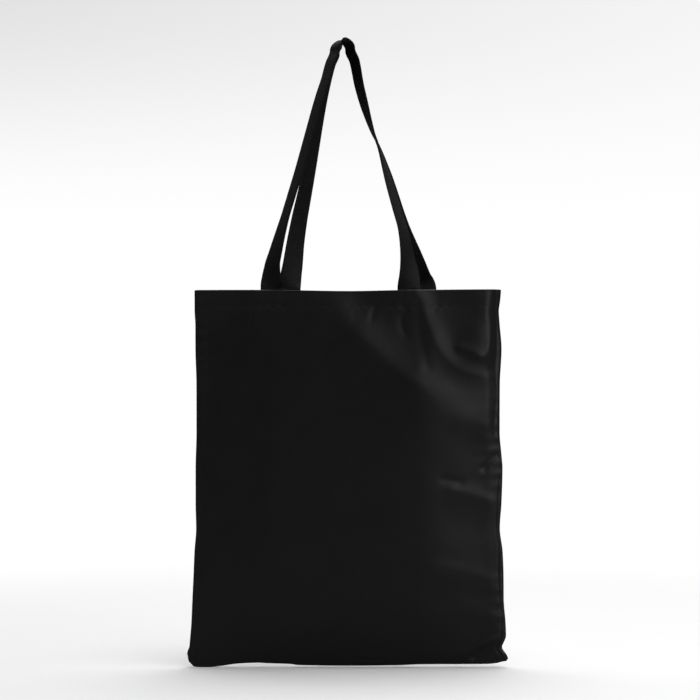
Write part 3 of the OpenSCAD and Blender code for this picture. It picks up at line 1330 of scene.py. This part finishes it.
@dataclass(frozen=True)
class SoftLight:
    """A large soft lamp.

    Args:
        name: The lamp's name.
        place: Where it is.
        aim: What it points at.
        size: Its width and height.
        power: Its power in watts.
    """

    name: str
    place: tuple[float, float, float]
    aim: tuple[float, float, float]
    size: tuple[float, float]
    power: float

    def build(self) -> bpy.types.Object:
        """Hangs the lamp and points it."""
        lamp = bpy.data.lights.new(self.name, "AREA")
        lamp.shape = "RECTANGLE"
        lamp.size, lamp.size_y = self.size
        lamp.energy = self.power
        holder = bpy.data.objects.new(self.name, lamp)
        holder.location = self.place
        holder.rotation_euler = (Vector(self.aim) - Vector(self.place)).to_track_quat("-Z", "Y").to_euler()
        bpy.context.scene.collection.objects.link(holder)
        return holder


@dataclass
class Studio:
    """A pale floor that runs out into a white room, soft lamps, and the camera.

    Args:
        camera_place: Where the camera is.
        lens: Its focal length in millimetres.
        floor_radius: How far the floor reaches.
        fade_start: How far from the middle the floor starts to turn white.
        fade_end: Where it is white.
        floor_level: How pale the floor is.
        seen_off: How pale it is to the light that comes off it.
        room_light: How bright the room is as a light.
        lamps: The soft lamps.
    """

    camera_place: tuple[float, float, float] = (0.0028, -2.5, 0.3535)
    lens: float = 115.3
    floor_radius: float = 14.0
    fade_start: float = 0.35
    fade_end: float = 1.3
    floor_level: float = 0.82
    seen_off: float = 0.22
    room_light: float = 0.085
    lamps: tuple[SoftLight, ...] = (
        SoftLight("overhead", (0.30, 0.30, 2.4), (0.0, 0.10, 0.0), (2.6, 2.0), 84.0),
        SoftLight("key", (1.70, -1.95, 0.85), (0.05, 0.0, 0.30), (1.9, 1.5), 14.0),
        SoftLight("fill", (-1.7, -1.6, 0.9), (0.0, 0.0, 0.3), (1.4, 1.4), 1.5),
    )

    def floor(self) -> bpy.types.Object:
        """Lays the floor, which fades to white away from the bag."""
        shape = bmesh.new()
        bmesh.ops.create_circle(shape, cap_ends=True, segments=96, radius=self.floor_radius)
        mesh = bpy.data.meshes.new("floor")
        shape.to_mesh(mesh)
        shape.free()
        material, shader = new_material("pale_floor")
        x, y, _, place = shader.object_place()
        reach = (x * x + y * y).root()
        seen = Wire(shader, shader.node("ShaderNodeLightPath").outputs["Is Camera Ray"])
        white = reach.step(self.fade_start, self.fade_end) * seen
        mottle = shader.cloudy(place, 9.0, 3.0)
        tone = shader.between(mottle, dyed(self.floor_level - 0.01), dyed(self.floor_level + 0.01))
        values = {"Base Color": tone, "Roughness": 0.75, "Specular IOR Level": 0.2}
        matt = shader.node("ShaderNodeBsdfPrincipled", values=values)
        dim = shader.node("ShaderNodeBsdfDiffuse", values={"Color": dyed(self.seen_off)})
        solid = shader.node("ShaderNodeMixShader", values={0: seen, 1: dim.outputs[0], 2: matt.outputs[0]})
        glow = shader.node("ShaderNodeEmission", values={"Color": WHITE, "Strength": 1.0})
        mixed = shader.node("ShaderNodeMixShader", values={0: white, 1: solid.outputs[0], 2: glow.outputs[0]})
        shader.node("ShaderNodeOutputMaterial", values={"Surface": mixed.outputs[0]})
        return place_piece("floor", mesh, material)

    def room(self) -> None:
        """Makes the white room: bright to look at, dim as a light, a little darker high up on the left."""
        world = bpy.data.worlds.new("room")
        bpy.context.scene.world = world
        world.use_nodes = True
        shader = Shader(world.node_tree)
        way = shader.node("ShaderNodeTexCoord").outputs["Generated"]
        parts = shader.node("ShaderNodeSeparateXYZ", values={0: way})
        x, z = Wire(shader, parts.outputs[0]), Wire(shader, parts.outputs[2])
        tone = 1.0 - z.step(0.05, 0.17) * (0.175 - 0.5 * x)
        seen = Wire(shader, shader.node("ShaderNodeLightPath").outputs["Is Camera Ray"])
        strength = seen * tone + (1.0 - seen) * self.room_light
        back = shader.node("ShaderNodeBackground", values={"Color": WHITE, "Strength": strength})
        shader.node("ShaderNodeOutputWorld", values={"Surface": back.outputs[0]})

    def camera(self) -> bpy.types.Object:
        """Sets up the camera, level and straight in front."""
        lens = bpy.data.cameras.new("camera")
        lens.lens = self.lens
        lens.sensor_width = 36.0
        holder = bpy.data.objects.new("camera", lens)
        holder.location = self.camera_place
        holder.rotation_euler = (math.radians(90.0), 0.0, 0.0)
        bpy.context.scene.collection.objects.link(holder)
        bpy.context.scene.camera = holder
        return holder

    def build(self) -> None:
        """Sets up the whole studio."""
        bpy.context.scene.view_settings.view_transform = "Standard"
        self.camera()
        self.room()
        self.floor()
        for lamp in self.lamps:
            lamp.build()


# This shopper

FRONT_FOLDS = (
    Fold(((4, 368), (22, 350), (44, 330), (64, 316)), 46, 260, 7.4),
    Fold(((16, 370), (31, 354), (52, 335), (73, 320)), 30, 60, 1.5, 1.4),
    Fold(((79, 408), (80, 385), (84, 356), (89, 334)), 7, 8, -0.4),
    Fold(
        ((73, 424), (80, 405), (87, 384), (96, 364), (106, 347), (119, 334), (137, 326), (172, 319)),
        21, 85, 4.6, 1.7,
    ),
    Fold(((142, 342), (147, 292)), 40, 62, 2.2),
    Fold(((163, 430), (161, 400), (156, 356)), 14, 50, 9.2),
    Fold(((126, 355), (138, 351), (147, 346)), 9, 6, 1.3),
    Fold(((156, 380), (158, 350), (156, 330)), 6, 10, -0.4),
    Fold(((130, 277), (150, 270), (178, 250)), 22, 24, 1),
    Fold(((152, 222), (160, 231), (172, 244)), 5, 5, -1.2),
    Fold(((118, 198), (138, 194), (154, 188), (176, 178)), 11, 18, 1.2, 1.7),
    Fold(((108, 210), (124, 206)), 7, 7, -0.7),
    Fold(((98, 112), (138, 104), (172, 90)), 14, 22, 0.9),
    Fold(((130, 66), (150, 62), (174, 50)), 16, 20, 0.8),
    Fold(((64, 400), (60, 385), (64, 372)), 5, 6, -0.6),
    Fold(((30, 400), (27, 388)), 5, 5, -0.5),
    Fold(((-110, 412), (-111, 385), (-110, 361)), 6, 6, -0.6),
    Fold(((-98, 418), (-104, 395), (-122, 350)), 10, 18, 0.5),
    Fold(((178, 24), (160, 20), (142, 8)), 5, 6, -1.6, 1.6),
    Fold(((174, 34), (152, 28), (128, 14)), 10, 6, 1.4),
)

BACK_FOLDS = (
    Fold(((-100, 424), (-108, 385), (-126, 352), (-172, 330)), 8, 16, 2.6, 1.7),
    Fold(((-124, 408), (-160, 380)), 18, 18, -1.6),
    Fold(((100, 420), (110, 370), (138, 342), (172, 326)), 18, 12, 2, 1.8),
    Fold(((-60, 330), (-20, 230), (-40, 120)), 45, 45, 1.6),
    Fold(((60, 300), (40, 200), (62, 100)), 40, 40, -1.2),
    Fold(((-172, 250), (-130, 240), (-98, 216)), 14, 18, 1.5, 1.8),
    Fold(((-172, 150), (-136, 140), (-100, 122)), 14, 20, 1.2),
    Fold(((172, 190), (132, 176), (105, 150)), 18, 14, 1.4, 1.8),
    Fold(((-174, 28), (-152, 22), (-130, 10)), 6, 6, -1.2),
)

STRAP_FEET = {
    Face.FRONT: {Half.LEFT: -84.0 * MM, Half.RIGHT: 68.0 * MM},
    Face.BACK: {Half.LEFT: -65.0 * MM, Half.RIGHT: 87.0 * MM},
}

STRAP_LEGS = {
    Face.FRONT: {
        Half.LEFT: StrapLeg(
            way=Curve((
                (0.0, -0.0840), (0.05, -0.0843), (0.1, -0.0834), (0.15, -0.0803), (0.25, -0.0733),
                (0.4, -0.0615), (0.5, -0.0535), (0.65, -0.0424), (0.8, -0.0312), (0.9, -0.0225),
                (0.95, -0.0188), (1.0, -0.0141),
            )),
            turn=Curve((
                (0.0, 0.0), (0.05, 30.0), (0.1, 46.0), (0.15, 53.0), (0.25, 63.0), (0.32, 67.0),
                (1.0, 66.0),
            )),
        ),
        Half.RIGHT: StrapLeg(
            way=Curve((
                (0.0, 0.0680), (0.05, 0.0686), (0.15, 0.0661), (0.25, 0.0617), (0.3, 0.0580), (0.4, 0.0500),
                (0.5, 0.0424), (0.6, 0.0346), (0.65, 0.0288), (0.75, 0.0203), (0.85, 0.0132),
                (0.95, 0.0080), (1.0, 0.0031),
            )),
            turn=Curve((
                (0.0, 180.0), (0.05, 158.0), (0.1, 139.0), (0.15, 126.0), (0.25, 116.0), (0.45, 109.0),
                (0.6, 92.0), (0.7, 79.0), (0.8, 70.0), (1.0, 66.0),
            )),
        ),
    },
    Face.BACK: {
        Half.LEFT: StrapLeg(
            way=Curve((
                (0.0, -0.0650), (0.05, -0.0636), (0.1, -0.0615), (0.2, -0.0580), (0.3, -0.0535),
                (0.4, -0.0481), (0.5, -0.0429), (0.6, -0.0379), (0.8, -0.0284), (0.9, -0.0225),
                (0.95, -0.0189), (1.0, -0.0141),
            )),
            turn=Curve((
                (0.0, 0.0), (0.05, 18.0), (0.1, 28.0), (0.2, 40.0), (0.3, 47.0), (0.45, 55.0), (0.7, 64.0),
                (1.0, 66.0),
            )),
        ),
        Half.RIGHT: StrapLeg(
            way=Curve((
                (0.0, 0.0870), (0.05, 0.0823), (0.1, 0.0784), (0.15, 0.0739), (0.2, 0.0690), (0.3, 0.0597),
                (0.4, 0.0515), (0.5, 0.0435), (0.6, 0.0350), (0.65, 0.0292), (0.75, 0.0208), (0.85, 0.0135),
                (0.95, 0.0082), (1.0, 0.0031),
            )),
            turn=Curve((
                (0.0, 180.0), (0.05, 153.0), (0.1, 140.0), (0.2, 125.0), (0.25, 119.0), (0.45, 110.0),
                (0.6, 93.0), (0.7, 79.0), (0.8, 70.0), (1.0, 66.0),
            )),
        ),
    },
}


@dataclass
class Shopper:
    """The whole bag, put together from its sub-assemblies."""

    satin: bpy.types.Material
    webbing: bpy.types.Material
    thread: bpy.types.Material
    allowance: bpy.types.Material

    def shape(self) -> BagShape:
        """The bag's form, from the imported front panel."""
        low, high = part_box("front_panel")
        return BagShape(height=high.z, face_depth=-low.y)

    def panel(self, face: Face, shape: BagShape) -> Panel:
        """One face with its own folds.

        Args:
            face: Which face.
            shape: The bag's form.

        Returns:
            The panel, not yet built.
        """
        seed = 3.1 if face is Face.FRONT else 17.4
        ripples = (Ripple(1.1 * MM, 0.115, seed), Ripple(0.30 * MM, 0.034, seed + 5.0))
        folds = FRONT_FOLDS if face is Face.FRONT else BACK_FOLDS
        return Panel(shape, face, folds, ripples, STRAP_FEET[face], self.satin)

    def build(self) -> list[bpy.types.Object]:
        """Builds every piece of the bag."""
        shape = self.shape()
        pieces = []
        for face in Face:
            panel = self.panel(face, shape)
            strap = Strap(panel, STRAP_LEGS[face], self.webbing).build()
            pieces.append(strap)
            pieces += panel.build(strap.name)
            pieces += FaceStitching(panel, self.thread).build()
        return pieces + SeamInside(shape, self.allowance, self.thread).build()


def main() -> None:
    """Builds the studio and the bag, and reports each piece."""
    logging.basicConfig(level=logging.INFO, format="%(name)s: %(message)s")
    Studio().build()
    satin = SatinFinish()
    allowance = SatinFinish(name="black_seam_allowance", dark=0.005, light=0.010, gloss=0.52, dull=0.62)
    shopper = Shopper(satin.make(), WebbingFinish().make(), ThreadFinish().make(), allowance.make())
    for piece in shopper.build():
        LOG.info("%s: %d faces", piece.name, len(piece.data.polygons))


if __name__ == "__main__":
    main()
